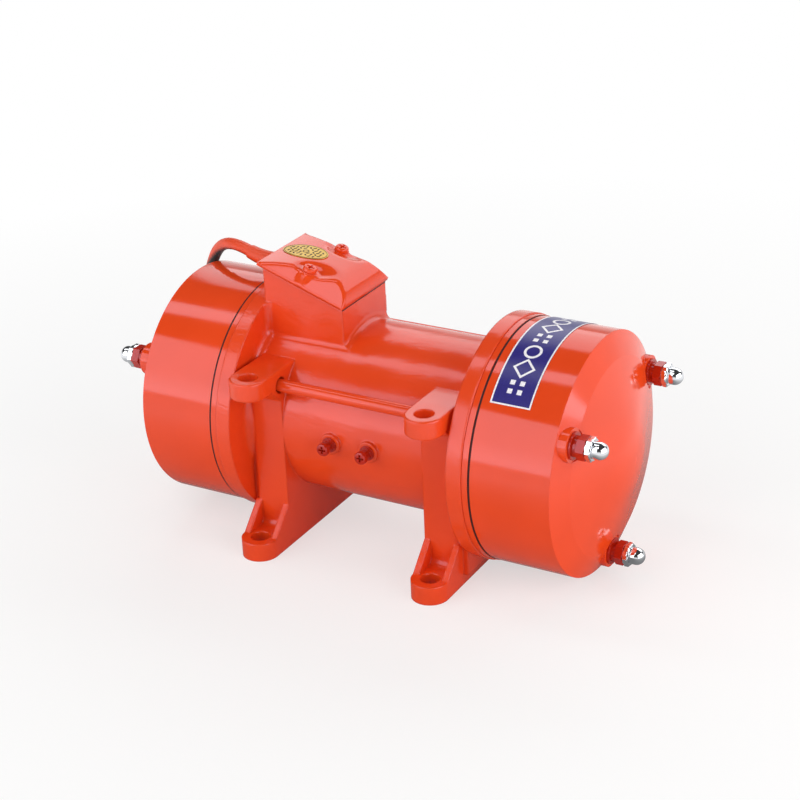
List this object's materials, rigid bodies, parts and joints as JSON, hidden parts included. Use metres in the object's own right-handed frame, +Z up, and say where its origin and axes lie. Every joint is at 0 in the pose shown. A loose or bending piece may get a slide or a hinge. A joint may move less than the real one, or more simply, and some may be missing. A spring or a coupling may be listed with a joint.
{
  "type": "vibration motor",
  "caption": "Foot-mounted electric vibration motor with eccentric weights under two round end covers, tie rods, upper lugs and a terminal box.",
  "frame": {"origin": "on the floor under the middle of the motor, at the bottom centre of the object without its cable", "axes": "+X along the shaft towards the labelled end cover, +Z up, front (earth screws) towards -Y"},
  "size_m": [0.4261, 0.3522, 0.2273],
  "materials": {
    "red_enamel": "glossy orange-red enamel over cast iron and pressed steel",
    "dark_red_enamel": "glossy darker red enamel",
    "mirror_chrome": "mirror chrome plate",
    "brass": "bare rolled brass",
    "blue_label": "printed blue label with a white border",
    "black_rubber": "black rubber with paint overspray near the motor",
    "core_insulation": "coloured core insulation",
    "copper": "bare and varnished copper",
    "lamination_steel": "varnished stacked sheet",
    "machined_steel": "turned and milled steel",
    "bearing_steel": "ground bearing steel",
    "cast_iron": "plain grey cast iron",
    "cast_aluminium": "die-cast aluminium",
    "cage_brass": "machined brass",
    "board_resin": "moulded phenolic resin"
  },
  "bodies": {
    "housing": {"acorn_nuts": "mirror_chrome", "cable_coil": "black_rubber", "cable_core_ends": "copper", "cable_cores": "core_insulation", "cable_grommet": "black_rubber", "cover_flat_washers": "dark_red_enamel", "cover_nuts": "dark_red_enamel", "cover_spring_washers": "dark_red_enamel", "cover_studs": "red_enamel", "earth_screws": "red_enamel", "earth_washers": "red_enamel", "grease_cap_screws": "machined_steel", "label_band": "blue_label", "left_bearing_outer_ring": "bearing_steel", "left_end_cover": "red_enamel", "left_end_shield": "red_enamel", "left_grease_cap": "cast_iron", "lid_gasket": "black_rubber", "lid_plate": "brass", "lid_screws": "red_enamel", "lid_washers": "red_enamel", "motor_casing": "red_enamel", "phase_leads": "core_insulation", "right_bearing_outer_ring": "bearing_steel", "right_end_cover": "red_enamel", "right_end_shield": "red_enamel", "right_grease_cap": "cast_iron", "stator_core": "lamination_steel", "stator_windings": "copper", "supply_cable": "black_rubber", "terminal_board": "board_resin", "terminal_board_screws": "machined_steel", "terminal_box_lid": "red_enamel", "terminal_cores": "core_insulation", "terminal_nuts": "brass", "terminal_studs": "brass", "tie_rods": "red_enamel"},
    "rotor": {"shaft": "machined_steel", "rotor_core": "lamination_steel", "rotor_end_rings": "cast_aluminium", "weight_keys": "machined_steel", "shaft_sleeves": "machined_steel", "shaft_end_washers": "machined_steel", "shaft_end_nuts": "machined_steel", "left_bearing_inner_ring": "bearing_steel", "right_bearing_inner_ring": "bearing_steel", "left_fixed_weight": "cast_iron", "right_fixed_weight": "cast_iron"},
    "left_bearing_cage": {"left_roller_cage": "cage_brass", "left_rollers": "bearing_steel"},
    "right_bearing_cage": {"right_roller_cage": "cage_brass", "right_rollers": "bearing_steel"},
    "left_setting_weight": {"left_adjustable_weight": "cast_iron", "left_clamp_bolt": "machined_steel"},
    "right_setting_weight": {"right_adjustable_weight": "cast_iron", "right_clamp_bolt": "machined_steel"}
  },
  "joints": [
    {"name": "rotor_spin", "type": "hinge", "parent": "housing", "child": "rotor", "pos_m": [0, 0, 0.1], "axis": [1, 0, 0], "continuous": true},
    {"name": "left_cage_spin", "type": "hinge", "parent": "housing", "child": "left_bearing_cage", "pos_m": [-0.1175, 0, 0.1], "axis": [1, 0, 0], "continuous": true},
    {"name": "right_cage_spin", "type": "hinge", "parent": "housing", "child": "right_bearing_cage", "pos_m": [0.1175, 0, 0.1], "axis": [1, 0, 0], "continuous": true},
    {"name": "left_weight_setting", "type": "hinge", "parent": "rotor", "child": "left_setting_weight", "pos_m": [-0.161, 0, 0.1], "axis": [1, 0, 0], "range_deg": [0, 180]},
    {"name": "right_weight_setting", "type": "hinge", "parent": "rotor", "child": "right_setting_weight", "pos_m": [0.161, 0, 0.1], "axis": [1, 0, 0], "range_deg": [0, 180]}
  ],
  "couplings": [
    {"joint": "left_cage_spin", "follows": "rotor_spin", "ratio": 0.399},
    {"joint": "right_cage_spin", "follows": "rotor_spin", "ratio": 0.399}
  ]
}
